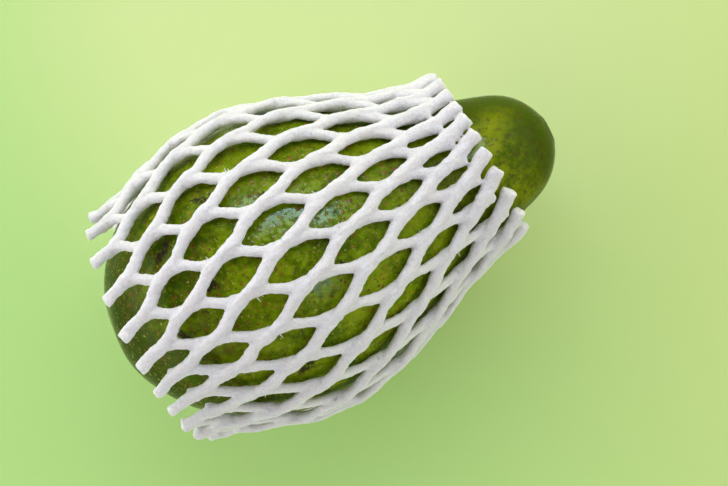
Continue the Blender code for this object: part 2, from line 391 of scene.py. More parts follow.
def strand_ends(lanes, layer):
    """For each strand the first and the last row, whole and part, between the sleeve's two cut ends."""
    rows = np.linspace(FIRST_ROW, LAST_ROW, ROW_SAMPLES)[None, :]
    angle = strand_angle(rows, lanes, layer)
    along = row_place(rows, angle)
    kept = (along > cut_place(WIDE_CUT, angle)) & (along < cut_place(MOUTH_CUT, angle))
    first = rows[0, kept.argmax(axis=1)]
    last = rows[0, ROW_SAMPLES - 1 - kept[:, ::-1].argmax(axis=1)]
    first = np.maximum(first, np.ceil(first) - layer["stubs"][0])
    last = np.minimum(last, np.floor(last) + layer["stubs"][1])
    return first[:, None], last[:, None]


def strand_path(rows, lanes, layer, junction):
    """A strand's middle line = its place on the sleeve, raised by its height there, and the way out from it.

    The height dips between junctions and, for the inner layer, rises after one and sinks before the next.
    """
    angle = finger_angle(rows, lanes, layer, junction)
    along = row_place(rows, angle)
    turn = 2 * math.pi * rows
    height = layer["height"] - layer["dip"] * (1 - np.cos(turn)) / 2 + layer["rise"] * np.sin(turn)
    height = height * (1 + MOUTH_SWELLING * mouth_share(rows))
    base = sleeve_radius(along, angle) + height - MIDDLE_HEIGHT
    places = np.stack([along, base * np.sin(angle), base * np.cos(angle)], axis=-1).reshape(-1, 3)
    wander = ripples(places, *PATH_LENGTHS, waves=STRAND_WAVES, seed=PATH_SEED).reshape(angle.shape)
    angle = angle + PATH_WANDER * wander / base
    path = np.stack([along, -base * np.sin(angle), base * np.cos(angle)], axis=-1)
    outward = np.stack([np.zeros_like(angle), -np.sin(angle), np.cos(angle)], axis=-1)
    return path, outward


def strand_rings(layer):
    """Rings = a path on the sleeve, plus width * cosine sideways and depth * sine outward at each point."""
    lanes = 2 * np.arange(STRANDS)[:, None] + 1
    first, last = strand_ends(lanes, layer)
    rows = first + (last - first) * np.linspace(0, 1, STRAND_ROWS)[None, :]
    path, outward = strand_path(rows, lanes, layer, np.ceil(first))
    forward = np.gradient(path, axis=1)
    forward /= np.linalg.norm(forward, axis=-1, keepdims=True)
    sideways = np.cross(forward, outward)
    sideways /= np.linalg.norm(sideways, axis=-1, keepdims=True)
    outward = np.cross(sideways, forward)
    wave = ripples(path.reshape(-1, 3), *THICKNESS_LENGTHS, waves=STRAND_WAVES, seed=layer["seed"])
    swell = (1 + THICKNESS_WAVE * wave.reshape(rows.shape)) * (1 + MOUTH_SWELLING * mouth_share(rows))
    round_angle = np.linspace(0, 2 * math.pi, STRAND_COLUMNS, endpoint=False)
    across = (layer["width"] / 2 * swell)[..., None] * np.cos(round_angle)
    upward = (layer["depth"] / 2 * swell)[..., None] * np.sin(round_angle)
    sides = across[..., None] * sideways[:, :, None]
    tops = upward[..., None] * outward[:, :, None]
    rings = path[:, :, None] + sides + tops
    return to_world(rings[..., 0], rings[..., 1], rings[..., 2])


both_layers = np.concatenate([strand_rings(OUTER), strand_rings(INNER)])
strands = piece_from_rings("foam_net_sleeve_mesh", both_layers)
print("strand faces:", len(strands.data.polygons))

# %% [markdown]
# Remesh and Smooth are left to Blender, as modifiers, and their result is kept as a plain mesh. What
# follows is done to that mesh: foam skin is lumpy where cells lie under it, and where the sleeve carries
# the fruit the foam is pressed flat on the table.

# %% Melt the strands together
VOXEL = 0.55 * MM
SMOOTH_STEPS = 4
SMOOTH_FACTOR = 0.45
LUMP_HEIGHT = 0.11 * MM
LUMP_LENGTHS = (1.4 * MM, 4.5 * MM)
LUMP_WAVES = 60
LUMP_SEED = 8


def settle_modifiers(piece):
    """Keeps what the modifiers show as the piece's own mesh."""
    bpy.context.view_layer.update()
    shown = piece.evaluated_get(bpy.context.evaluated_depsgraph_get())
    piece.data = bpy.data.meshes.new_from_object(shown)
    piece.modifiers.clear()


def melt(piece):
    """Voxel remesh into one skin, then relax it."""
    remesh = piece.modifiers.new("melted", "REMESH")
    remesh.mode = "VOXEL"
    remesh.voxel_size = VOXEL
    remesh.use_smooth_shade = True
    smooth = piece.modifiers.new("relaxed", "SMOOTH")
    smooth.factor = SMOOTH_FACTOR
    smooth.iterations = SMOOTH_STEPS
    settle_modifiers(piece)


def press_and_lump(piece):
    """Lumps along the normals, then no point below the floor: height = the larger of height and zero."""
    points = mesh_points(piece.data)
    lumps = LUMP_HEIGHT * ripples(points, *LUMP_LENGTHS, waves=LUMP_WAVES, seed=LUMP_SEED)
    points = points + mesh_normals(piece.data) * lumps[:, None]
    points[:, 2] = np.maximum(points[:, 2], 0)
    piece.data.vertices.foreach_set("co", points.ravel())
    piece.data.update()


melt(strands)
press_and_lump(strands)
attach(strands, "root")
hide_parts("foam_net_sleeve")
print("sleeve faces:", len(strands.data.polygons))

# %% [markdown]
# The nozzle draws the foam's cells out along each strand. The finish needs to know which way that is at
# every point of the melted skin, so each point gets its own net coordinates: how far along its strand it
# lies, how far off the strand's middle, and a number that differs from strand to strand. They come from
# undoing the sums above.

# %% Mark which way the strands run
UNDO_STEPS = 8
ALONG_SCALE = 20.0
ACROSS_SCALE = 6.0
STRAND_STEP = 9.0
INNER_STEP = 300.0


def net_place(points):
    """Row and even angle of world places, corrected in steps until the formulas give the places back."""
    along, side, up = from_world(points)
    angle = np.arctan2(-side, up)
    row = (along - ROW_PLACE[0]) / ROW_PLACE[1]
    even = angle
    for _ in range(UNDO_STEPS):
        row = np.clip(row + (along - row_place(row, angle)) / ROW_PLACE[1], FIRST_ROW, LAST_ROW)
        even = even + angle - crowded(even + mouth_part(MOUTH_TURN, row, even), row)
    return row, even


def lane_place(row, even, layer):
    """A layer's nearest strand and the distance off its middle in lanes, from the formula of its angle."""
    lane = (even - curve_value(TWIST, row)) * STRANDS / math.pi - layer["way"] * swing_place(row, layer)
    number = np.round((lane - 1) / 2)
    return number % STRANDS, lane - 1 - 2 * number


def mark_flow(piece):
    """Stores strand_flow at each point = the place along and off the nearer strand, and its number."""
    row, even = net_place(mesh_points(piece.data))
    outer, outer_off = lane_place(row, even, OUTER)
    inner, inner_off = lane_place(row, even, INNER)
    on_outer = np.abs(outer_off) < np.abs(inner_off)
    number = np.where(on_outer, outer * STRAND_STEP, INNER_STEP + inner * STRAND_STEP)
    off = np.where(on_outer, outer_off, inner_off) * ACROSS_SCALE
    flow = np.stack([row * ALONG_SCALE, off, number], axis=-1)
    layer = piece.data.attributes.new("strand_flow", "FLOAT_VECTOR", "POINT")
    layer.data.foreach_set("vector", flow.astype(np.float32).ravel())


mark_flow(strands)
print("strand flow marked")

# %% [markdown]
# Where two strands were pulled apart again, the weld tears and leaves short wisps at the corner of an
# opening. Each is a thin cone from the flank of an outer strand into the opening, bent a little at
# random. Cones are cheap, and their direction and length come from a random generator with a fixed seed,
# so each run draws the same ones.

# %% Add the torn wisps
WISPS = 120
WISP_RINGS = 6
WISP_COLUMNS = 6
WISP_LENGTHS = (0.9 * MM, 2.6 * MM)
WISP_RADIUS = 0.30 * MM
WISP_ROOT = 0.5 * MM
WISP_ROWS = (-2.4, 2.4)
WISP_OFFSET = 0.17
WISP_SCATTER = 0.05
WISP_CURL = 0.5 * MM
WISP_LEAN = 0.7
WISP_RISE = 0.25
WISP_TIP = 0.1
WISP_FALL = 0.8
WISP_SEED = 21
SMALL_ROW = 0.01


def wisp_rings():
    """Rings = a line from the strand's flank, bent by the square of the way along it, with a falling radius.

    Wisps that would reach below the floor are left out.
    """
    draw = np.random.default_rng(WISP_SEED)
    lanes = 2 * draw.integers(0, STRANDS, WISPS) + 1
    sign = draw.choice([-1, 1], WISPS)
    junction = np.round(draw.uniform(*WISP_ROWS, WISPS))
    rows = junction + sign * draw.normal(WISP_OFFSET, WISP_SCATTER, WISPS)
    path, outward = strand_path(rows, lanes, OUTER, FIRST_ROW)
    ahead = strand_path(rows + SMALL_ROW, lanes, OUTER, FIRST_ROW)[0] - path
    ahead /= np.linalg.norm(ahead, axis=-1, keepdims=True)
    sideways = np.cross(ahead, outward) * sign[:, None]
    heading = sideways + ahead * draw.normal(0, WISP_LEAN, WISPS)[:, None]
    heading = heading + outward * draw.normal(0, WISP_RISE, WISPS)[:, None]
    heading /= np.linalg.norm(heading, axis=-1, keepdims=True)
    start = path + sideways * (OUTER["width"] / 2 - WISP_ROOT)
    length = draw.uniform(*WISP_LENGTHS, WISPS) + WISP_ROOT
    curl = np.cross(heading, outward) * draw.normal(0, WISP_CURL, WISPS)[:, None]
    part = np.linspace(0, 1, WISP_RINGS)
    reach = (length[:, None] * heading)[:, None]
    line = start[:, None] + part[:, None] * reach + part[:, None] ** 2 * curl[:, None]
    turn = np.linspace(0, 2 * math.pi, WISP_COLUMNS, endpoint=False)
    radius = WISP_RADIUS * (1 + WISP_TIP - part) ** WISP_FALL
    level = np.cross(heading, outward)
    circle = np.cos(turn)[:, None] * level[:, None] + np.sin(turn)[:, None] * outward[:, None]
    rings = line[:, :, None] + radius[:, None, None] * circle[:, None]
    rings = to_world(rings[..., 0], rings[..., 1], rings[..., 2])
    return rings[rings[..., 2].min(axis=(1, 2)) > 0]


wisps = piece_from_rings("torn_foam_wisps", wisp_rings())
mark_flow(wisps)
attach(wisps, "root")
print("wisp faces:", len(wisps.data.polygons))

# %% [markdown]
# ## Material tools
# A material is a network of nodes, but its sums read best as sums. This class stands for one socket and
# turns +, -, * and the like into Math nodes, so that a mask can be written as an expression.

# %% A socket that can be added and multiplied


class Shade:
    """One value on its way through a material; arithmetic on it adds Math nodes."""

    def __init__(self, tree, socket):
        self.tree = tree
        self.socket = socket

    def node(self, kind, settings=None, sockets=None, output=0):
        """Adds any node: its settings first, then values or links for its sockets, and gives one output."""
        made = self.tree.nodes.new(kind)
        for name, value in (settings or {}).items():
            setattr(made, name, value)
        for name, value in (sockets or {}).items():
            if isinstance(value, Shade):
                self.tree.links.new(value.socket, made.inputs[name])
            else:
                made.inputs[name].default_value = value
        return Shade(self.tree, made.outputs[output])

    def maths(self, operation, *others):
        """One Math node on this value and others."""
        values = dict(enumerate((self, *others)))
        return self.node("ShaderNodeMath", {"operation": operation}, values)

    def __add__(self, other):
        return self.maths("ADD", other)

    def __radd__(self, other):
        return self.maths("ADD", other)

    def __sub__(self, other):
        return self.maths("SUBTRACT", other)

    def __rsub__(self, other):
        return self.maths("MULTIPLY", -1.0).maths("ADD", other)

    def __mul__(self, other):
        return self.maths("MULTIPLY", other)

    def __rmul__(self, other):
        return self.maths("MULTIPLY", other)

    def vector(self, operation, sockets, output=0):
        """One Vector Math node; its output 0 is a vector and its output 1 a value."""
        return self.node("ShaderNodeVectorMath", {"operation": operation}, {0: self, **sockets}, output)

    def part(self, number):
        """One part of a vector: 0 is X, 1 is Y and 2 is Z."""
        return self.node("ShaderNodeSeparateXYZ", {}, {"Vector": self}, number)

    def step(self, low, high):
        """0 below low, 1 above high and a smooth rise between; with low above high it falls instead."""
        settings = {"interpolation_type": "SMOOTHSTEP"}
        if low < high:
            return self.node("ShaderNodeMapRange", settings, {0: self, 1: low, 2: high, 3: 0.0, 4: 1.0})
        return self.node("ShaderNodeMapRange", settings, {0: self, 1: high, 2: low, 3: 1.0, 4: 0.0})

    def larger(self, other):
        """The larger of this value and another, which joins two masks."""
        return self.maths("MAXIMUM", other)

    def blend(self, first, second):
        """A colour between two, by this value: first where it is 0 and second where it is 1."""
        return self.node("ShaderNodeMix", {"data_type": "RGBA"}, {0: self, 6: first, 7: second}, 2)


def start_material(name):
    """A new material: its tree, its Principled shader, and its Object coordinates in millimetres."""
    material = bpy.data.materials.new(name)
    material.use_nodes = True
    tree = material.node_tree
    shader = tree.nodes["Principled BSDF"]
    places = Shade(tree, tree.nodes.new("ShaderNodeTexCoord").outputs["Object"])
    return material, shader, places.vector("SCALE", {"Scale": 1 / MM})


def noise(places, size, detail=2.0, roughness=0.5, stretch=None):
    """Noise with grains of about this size in millimetres, drawn out along the axes by stretch."""
    if stretch:
        scale = tuple(1 / part for part in stretch)
        places = places.node("ShaderNodeMapping", {}, {"Vector": places, "Scale": scale})
    sockets = {"Vector": places, "Scale": 1 / size, "Detail": detail, "Roughness": roughness}
    return places.node("ShaderNodeTexNoise", {}, sockets)


def cells(places, size, output):
    """Voronoi cells of this size: output 0 is the distance to a cell's seed, output 1 its random colour."""
    return places.node("ShaderNodeTexVoronoi", {}, {"Vector": places, "Scale": 1 / size}, output)


def warp(places, size, amount):
    """Places pushed about by noise, to roughen whatever is drawn on them."""
    cloud = places.node("ShaderNodeTexNoise", {}, {"Vector": places, "Scale": 1 / size, "Detail": 2.0}, 1)
    push = cloud.vector("SUBTRACT", {1: (0.5, 0.5, 0.5)}).vector("SCALE", {"Scale": amount})
    return places.vector("ADD", {1: push})


def bump(height, distance, before=None):
    """A Bump node that raises a height of 1 by this distance, on top of an earlier one."""
    sockets = {"Height": height, "Distance": distance, "Strength": 1.0}
    if before:
        sockets["Normal"] = before
    return height.node("ShaderNodeBump", {}, sockets)


print("material tools ready")

# %% [markdown]
# ## The skin
# Avocado skin is a waxy green with a deeper green in clouds under it, and turns olive towards the neck.
# It carries four kinds of marks: pale yellow-green pores, reddish-brown freckles of cork, dark smudges on
# the neck, and a few dark scars where it rubbed on a twig. Pores and freckles come from Voronoi cells,
# because each cell gives a dot and a random number that decides whether the dot is there. Smudges are a
# noise cut off at a level. A scar is an ellipse with its edge torn by noise. Each row of SCARS gives one:
# its place along the axis, its angle round it, its length and width in millimetres, and its tilt.

# %% Dots and scars
DOT_EDGE = 0.48
SHARE_EDGE = 0.02
SCAR_EDGE = (1.25, 0.55)
SCARS = [
    (43 * MM, -3, 4.5, 1.8, 20),
    (34 * MM, -24, 4.0, 2.0, -30),
    (52 * MM, -33, 4.5, 1.2, 35),
    (29 * MM, 12, 4.5, 1.2, 60),
    (83 * MM, 14, 4.0, 0.8, 70),
    (71 * MM, -24, 3.0, 1.3, 15),
    (104 * MM, 8, 2.2, 0.9, 40),
    (58 * MM, 42, 4.0, 1.4, -20),
    (62 * MM, 120, 6.0, 2.0, 30),
    (90 * MM, 200, 5.0, 2.4, -15),
    (46 * MM, 265, 7.0, 1.6, 10),
    (118 * MM, 150, 4.0, 1.8, 50),
]


def dots(places, kind):
    """Dots in cells, 1 inside and 0 outside; kind is the cells' size, a dot's radius and the share kept."""
    size, radius, share = kind
    distance = cells(places, size, 0)
    chance = places.node("ShaderNodeSeparateColor", {}, {"Color": cells(places, size, 1)}, 0)
    inside = distance.step(radius / size * (1 + DOT_EDGE), radius / size * (1 - DOT_EDGE))
    return inside * chance.step(share + SHARE_EDGE, share - SHARE_EDGE)


def scar_frame(along, angle, tilt):
    """A scar's world place in millimetres and its long and short directions on the skin."""
    turn = angle * DEGREE
    radius = float(fruit_radius(np.array(along)))
    point = to_world(along, -radius * math.sin(turn), radius * math.cos(turn)) / MM
    ahead = to_world(1.0, 0.0, 0.0) - to_world(0.0, 0.0, 0.0)
    across = to_world(0.0, -math.cos(turn), -math.sin(turn)) - to_world(0.0, 0.0, 0.0)
    lean = tilt * DEGREE
    long_way = math.cos(lean) * ahead + math.sin(lean) * across
    short_way = math.cos(lean) * across - math.sin(lean) * ahead
    return point, long_way, short_way


def scar_mask(places, scar):
    """1 inside an ellipse round the scar's place, with an edge torn by the noise already in the places."""
    along, angle, length, width, tilt = scar
    point, long_way, short_way = scar_frame(along, angle, tilt)
    local = places.vector("SUBTRACT", {1: tuple(point)})
    squares = []
    for direction, size in ((long_way, length), (short_way, width), (np.cross(long_way, short_way), length)):
        reach = local.vector("DOT_PRODUCT", {1: tuple(direction / size)}, 1)
        squares.append(reach * reach)
    return (squares[0] + squares[1] + squares[2]).step(*SCAR_EDGE)


print("scars:", len(SCARS))

# %% [markdown]
# The colour is built up in layers: the clouds of green first, then the olive of the neck and a haze of
# russet near the wide end, as on the real skin. Last comes painted shade: a deeper green along the flanks
# turned from the light, at the tip and at the wide end, and a tone darker towards the wide end. The marks
# lie over all of these.

# %% Layer the skin's colours
DARK_GREEN = (0.070, 0.125, 0.002, 1)
MID_GREEN = (0.190, 0.295, 0.003, 1)
BRIGHT_GREEN = (0.305, 0.400, 0.006, 1)
# Painted shade: the deep green of the flanks and the tip, and a darker one at the wide end.
PAINTED_SHADE_GREEN = (0.048, 0.085, 0.001, 1)
PAINTED_END_SHADE_GREEN = (0.022, 0.045, 0.001, 1)
NECK_OLIVE = (0.235, 0.285, 0.001, 1)
RUSSET = (0.150, 0.105, 0.010, 1)
CLOUD_SIZE = 13
CLOUD_STRETCH = (1.5, 1, 1)
MID_EDGE = (0.36, 0.55)
BRIGHT_EDGE = (0.47, 0.66)
BRIGHT_SHARE = 0.9
OLIVE_EDGE = (0.36, 0.56)
RUSSET_SIZE = 5
RUSSET_EDGE = (0.46, 0.62)
NECK_REACH = (28, 55)
# Painted shade: the next twelve measures, except the russet's reach and share, place the painted shade on
# the tip, the wide end and the flanks turned from the light.
TIP_SHADE_REACH = (60, 76)
RUSSET_REACH = (5, -55)
WIDE_SHADE_REACH = (-28, -66)
END_REACH = (-46, -66)
WIDE_PAINTED_SHADE = 0.13
RUSSET_SHARE = 0.40
FLANK_SHADE_SHARE = 0.40
NECK_FLANK_SHADE_SHARE = 0.55
END_SHADE_SHARE = 0.85
LIT_SIDE_TURN = 14 * DEGREE
PAINTED_SHADE_EDGE = (1.0, 0.45)
PAINTED_SHADE_RAGGED = 0.6
NECK_MARKS_REACH = (28, 45)
NECK_PORES_GONE = 0.9
NECK_FRECKLES_GONE = 0.3
END_FRECKLES_GONE = 0.5
FINE_PORES = (1.25, 0.20, 0.75)
WIDE_PORES = (2.6, 0.34, 0.5)
FRECKLES = (2.1, 0.50, 0.80)
BIG_FRECKLES = (2.9, 0.72, 0.45)
SPECKS = (1.0, 0.24, 0.60)
FRECKLE_FADE = 0.3
BIG_FRECKLE_FADE = 0.5
TORN_WARP = (0.9, 0.7)
RAGGED_WARP = (0.9, 2.0)
SMUDGE_WARP = (2, 2.0)
PATCH_SIZE = 8
PATCH_EDGE = (0.38, 0.58)
SMUDGE_SIZE = 2.6
SMUDGE_EDGE = (0.60, 0.67)
SMUDGE_SHARE = 0.75
CORK_SIZE = 1.6
CORK_EDGE = (0.44, 0.62)
SCAR_GRAIN_SIZE = 0.8
SCAR_GRAIN_EDGE = (0.32, 0.50)


def lit_side_cosine(places):
    """Cosine of the angle round the axis from the side turned to the light: 1 there, 0 on the two flanks."""
    lift = (AXIS_HEIGHT - ORIGIN_ALONG * math.tan(DROOP)) / MM
    above = places.vector("DOT_PRODUCT", {1: (math.tan(DROOP), 0, 1)}, 1) - lift
    aside = places.part(1)
    towards = above * math.cos(LIT_SIDE_TURN) - aside * math.sin(LIT_SIDE_TURN)
    return towards * (above * above + aside * aside + 1.0).maths("INVERSE_SQRT")


def skin_greens(places, mottle):
    """Clouds of green, the olive neck, the russet haze, and painted shade at the flanks, tip and wide end.
    """
    cloud = noise(places, CLOUD_SIZE, detail=3, roughness=0.6, stretch=CLOUD_STRETCH)
    along = places.part(0)
    neck = along.step(*NECK_REACH)
    # Painted shade: the tone grows darker towards the wide end.
    tone = cloud * 0.5 + mottle * 0.5 - along.step(*WIDE_SHADE_REACH) * WIDE_PAINTED_SHADE
    green = tone.step(*MID_EDGE).blend(DARK_GREEN, MID_GREEN)
    green = (tone.step(*BRIGHT_EDGE) * BRIGHT_SHARE).blend(green, BRIGHT_GREEN)
    olive = tone.step(*OLIVE_EDGE).blend(DARK_GREEN, NECK_OLIVE)
    green = neck.blend(green, olive)
    haze = noise(places, RUSSET_SIZE, detail=3).step(*RUSSET_EDGE)
    green = (haze * along.step(*RUSSET_REACH) * RUSSET_SHARE).blend(green, RUSSET)
    # Painted shade: a deep green on the flanks turned from the light and at the tip, and a darker one at the
    # wide end.
    lit = lit_side_cosine(places) + (cloud - 0.5) * PAINTED_SHADE_RAGGED
    shade = lit.step(*PAINTED_SHADE_EDGE).larger(along.step(*TIP_SHADE_REACH))
    green = (shade * (FLANK_SHADE_SHARE + neck * NECK_FLANK_SHADE_SHARE)).blend(green, PAINTED_SHADE_GREEN)
    return (along.step(*END_REACH) * END_SHADE_SHARE).blend(green, PAINTED_END_SHADE_GREEN)


def skin_marks(places):
    """Masks of the pale pores, the freckles, how dark each freckle is, and the scars."""
    torn = warp(places, *TORN_WARP)
    patchy = noise(places, PATCH_SIZE, detail=2).step(*PATCH_EDGE)
    along = places.part(0)
    neck = along.step(*NECK_MARKS_REACH)
    pores = dots(places, FINE_PORES).larger(dots(torn, WIDE_PORES)) * (1 - neck * NECK_PORES_GONE)
    freckles = dots(torn, FRECKLES) * (1 - FRECKLE_FADE + patchy * FRECKLE_FADE)
    big = dots(torn, BIG_FRECKLES) * (1 - BIG_FRECKLE_FADE + patchy * BIG_FRECKLE_FADE)
    freckles = freckles.larger(big)
    freckles = freckles * (1 - neck * NECK_FRECKLES_GONE) * (1 - along.step(*END_REACH) * END_FRECKLES_GONE)
    smudges = noise(warp(places, *SMUDGE_WARP), SMUDGE_SIZE, detail=4, roughness=0.7).step(*SMUDGE_EDGE)
    freckles = freckles.larger(smudges * neck * SMUDGE_SHARE).larger(dots(torn, SPECKS) * patchy)
    depth = noise(places, CORK_SIZE).step(*CORK_EDGE).larger(neck)
    ragged = warp(places, *RAGGED_WARP)
    scars = scar_mask(ragged, SCARS[0])
    for scar in SCARS[1:]:
        scars = scars.larger(scar_mask(ragged, scar))
    scars = scars * noise(places, SCAR_GRAIN_SIZE, detail=3).step(*SCAR_GRAIN_EDGE)
    return pores, freckles, depth, scars


print("sunny side turned by, degrees:", round(LIT_SIDE_TURN / DEGREE))

# %% [markdown]
# The gloss matters as much as the colour. Under the wax the skin has a fine orange-peel relief, which
# breaks a window's reflection into specks. That relief is a bump, because it is finer than any mesh
# should be. The skin reflects little, or the bright room would lie on it as a grey veil, so the lamps for
# its highlights are strong.

# %% Build the skin
PORE_GREEN = (0.50, 0.46, 0.10, 1)
CORK_RED = (0.320, 0.105, 0.016, 1)
CORK_DARK = (0.070, 0.030, 0.010, 1)
SCAR_BROWN = (0.030, 0.016, 0.008, 1)
PORE_SHARE = 0.8
FRECKLE_SHARE = 0.85
SCAR_SHARE = 0.9
MOTTLE_SIZE = 2.4
MOTTLE_WARP = (3, 1.5)
WAX_ROUGHNESS = 0.11
WAX_SPECULAR = 0.05
DULL_EDGE = (0.46, 0.62)
DULL_PATCHES = 0.17
CORK_DULLER = 0.35
PEEL_SIZE = 1.3
PEEL_HEIGHT = 0.03 * MM
MARK_HEIGHT = 0.12 * MM
PORE_RELIEF = 0.4
FRECKLE_RELIEF = 0.7


def skin_material():
    """The whole skin: its colours, its marks, their relief and the gloss of its wax."""
    material, shader, places = start_material("waxy_green_skin")
    tree = material.node_tree
    mottle = noise(warp(places, *MOTTLE_WARP), MOTTLE_SIZE, detail=4, roughness=0.65)
    pores, freckles, depth, scars = skin_marks(places)
    colour = (pores * PORE_SHARE).blend(skin_greens(places, mottle), PORE_GREEN)
    colour = (freckles * FRECKLE_SHARE).blend(colour, depth.blend(CORK_RED, CORK_DARK))
    colour = (scars * SCAR_SHARE).blend(colour, SCAR_BROWN)
    tree.links.new(colour.socket, shader.inputs["Base Color"])
    rough = WAX_ROUGHNESS + mottle.step(*DULL_EDGE) * DULL_PATCHES + freckles.larger(scars) * CORK_DULLER
    tree.links.new(rough.socket, shader.inputs["Roughness"])
    relief = bump(noise(places, PEEL_SIZE, detail=3, roughness=0.6), PEEL_HEIGHT)
    relief = bump(pores * PORE_RELIEF + freckles * FRECKLE_RELIEF + scars, MARK_HEIGHT, relief)
    tree.links.new(relief.socket, shader.inputs["Normal"])
    shader.inputs["Specular IOR Level"].default_value = WAX_SPECULAR
    return material


fruit.data.materials.append(skin_material())
print("skin nodes:", len(fruit.data.materials[0].node_tree.nodes))

# %% [markdown]
# ## The foam
# Expanded polyethylene is a froth of tiny closed cells. Light goes in, scatters and comes out a little
# further on, so the strands glow softly in their own shade: subsurface scattering does that. The cells
# show as a fine pearly grain, drawn out along the strands by the nozzle, with a glint where a cell wall
# faces the light.

# %% Build the foam
FOAM_LIGHT = (0.775, 0.770, 0.800, 1)
FOAM_PINK = (0.800, 0.770, 0.780, 1)
FOAM_SHADE = (0.675, 0.665, 0.695, 1)
FOAM_SCATTER = 3.2 * MM
FOAM_SCATTER_SHARE = 0.85
FOAM_SPECULAR = 0.07
DRAWN_SIZE = 0.9
DRAWN_STRETCH = (2.6, 1, 1)
DRAWN_HEIGHT = 0.20 * MM
DRAWN_SHARE = 0.35
GRAIN_SIZE = 0.55
GRAIN_HEIGHT = 0.09 * MM
PEARL_SIZE = 0.85
PEARL_HEIGHT = 0.10 * MM
PINK_SIZE = 3.5
PINK_EDGE = (0.42, 0.58)
SHADE_EDGE = (0.36, 0.58)
FOAM_ROUGHNESS = 0.55
CELL_WALL_EDGE = (0.5, 0.66)
CELL_WALL_GLOSS = 0.27


def foam_material():
    """White foam: drawn-out pearly grain in the colour, glints in the roughness, cells in the bump."""
    material, shader, places = start_material("white_foam_cells")
    tree = material.node_tree
    flow = places.node("ShaderNodeAttribute", {"attribute_name": "strand_flow"}, {}, 1)
    drawn = noise(flow, DRAWN_SIZE, detail=3, roughness=0.6, stretch=DRAWN_STRETCH)
    grain = noise(places, GRAIN_SIZE, detail=3, roughness=0.7)
    pearls = cells(places, PEARL_SIZE, 0)
    tone = drawn * DRAWN_SHARE + grain * (1 - DRAWN_SHARE)
    light = noise(places, PINK_SIZE, detail=2).step(*PINK_EDGE).blend(FOAM_LIGHT, FOAM_PINK)
    colour = tone.step(*SHADE_EDGE).blend(FOAM_SHADE, light)
    tree.links.new(colour.socket, shader.inputs["Base Color"])
    rough = FOAM_ROUGHNESS - grain.step(*CELL_WALL_EDGE) * CELL_WALL_GLOSS
    tree.links.new(rough.socket, shader.inputs["Roughness"])
    relief = bump(drawn, DRAWN_HEIGHT)
    relief = bump(1 - pearls, PEARL_HEIGHT, relief)
    relief = bump(grain, GRAIN_HEIGHT, relief)
    tree.links.new(relief.socket, shader.inputs["Normal"])
    shader.inputs["Specular IOR Level"].default_value = FOAM_SPECULAR
    shader.inputs["Subsurface Weight"].default_value = FOAM_SCATTER_SHARE
    shader.inputs["Subsurface Radius"].default_value = (1.0, 1.0, 1.0)
    shader.inputs["Subsurface Scale"].default_value = FOAM_SCATTER
    return material


foam = foam_material()
for piece in (strands, wisps):
    piece.data.materials.clear()
    piece.data.materials.append(foam)
print("foam nodes:", len(foam.node_tree.nodes))

# %% [markdown]
# ## Camera
# The picture was taken from above through a long lens. The camera's three directions are worked out from
# how the fruit's axis lies in the picture: its slope across the frame, and the few degrees by which the
# neck comes towards the lens.

# %% Set the camera
PICTURE_WIDTH = 728
PICTURE_SLOPE = 26.26 * DEGREE
TOWARDS_LENS = 4.0 * DEGREE
CAMERA_PIXELS = 1334
PIXEL = 0.334 * MM
AIM_ALONG = 21.08 * MM
AIM_SIDE = 6.79 * MM
AIM_FROM = 66.8 * MM
SENSOR = 36.0
CLIP_START = 0.01


def camera_directions():
    """Right, up and back of the camera, by undoing the axis's slope and lean in the picture."""
    zero = to_world(0.0, 0.0, 0.0)
    ahead = to_world(1.0, 0.0, 0.0) - zero
    down_side = np.array([0.0, -1.0, 0.0])
    top = to_world(0.0, 0.0, 1.0) - zero
    level = math.cos(TOWARDS_LENS) * ahead - math.sin(TOWARDS_LENS) * top
    back = math.sin(TOWARDS_LENS) * ahead + math.cos(TOWARDS_LENS) * top
    right = math.cos(PICTURE_SLOPE) * level + math.sin(PICTURE_SLOPE) * down_side
    up = math.sin(PICTURE_SLOPE) * level - math.cos(PICTURE_SLOPE) * down_side
    return right, up, back, level, down_side


RIGHT, UP, BACK, LEVEL, DOWN_SIDE = camera_directions()
TARGET = to_world(AIM_FROM, 0.0, 0.0) + AIM_ALONG * LEVEL + AIM_SIDE * DOWN_SIDE


def looking(place, right, up, back):
    """The matrix of a camera or lamp at a place with these directions."""
    matrix = Matrix.Identity(4)
    for column, direction in enumerate((right, up, back, place)):
        for row in range(3):
            matrix[row][column] = float(direction[row])
    return matrix


def make_camera():
    """A camera whose focal length, in pixels, equals its distance in the picture's own pixels."""
    camera = bpy.data.objects.new("camera", bpy.data.cameras.new("camera"))
    camera.data.sensor_width = SENSOR
    camera.data.lens = CAMERA_PIXELS / PICTURE_WIDTH * SENSOR
    camera.data.clip_start = CLIP_START
    camera.matrix_world = looking(TARGET + CAMERA_PIXELS * PIXEL * BACK, RIGHT, UP, BACK)
    bpy.context.scene.collection.objects.link(camera)
    bpy.context.scene.camera = camera
    return camera


camera = make_camera()
print("lens, mm:", round(camera.data.lens, 1))
print("tilt from straight down, degrees:", round(math.acos(BACK[2]) / DEGREE, 1))

# %% [markdown]
# ## Floor and light
# A pale yellow-green floor throws its colour up into the white foam and along the rim of the skin. One
# large soft lamp from the upper edge of the picture stands for a window and gives the shadow below the
# fruit. Two more lamps show in reflections only, the window again and a small one at the side: they give
# the wax its highlights. The rest comes from a bright room low all round, under a dark ceiling, because a
# bright one would grey the skin.

# %% Set the floor and the lamps
FLOOR_SIZE = 8.0
FLOOR_COLOUR = (0.53, 0.85, 0.26, 1)
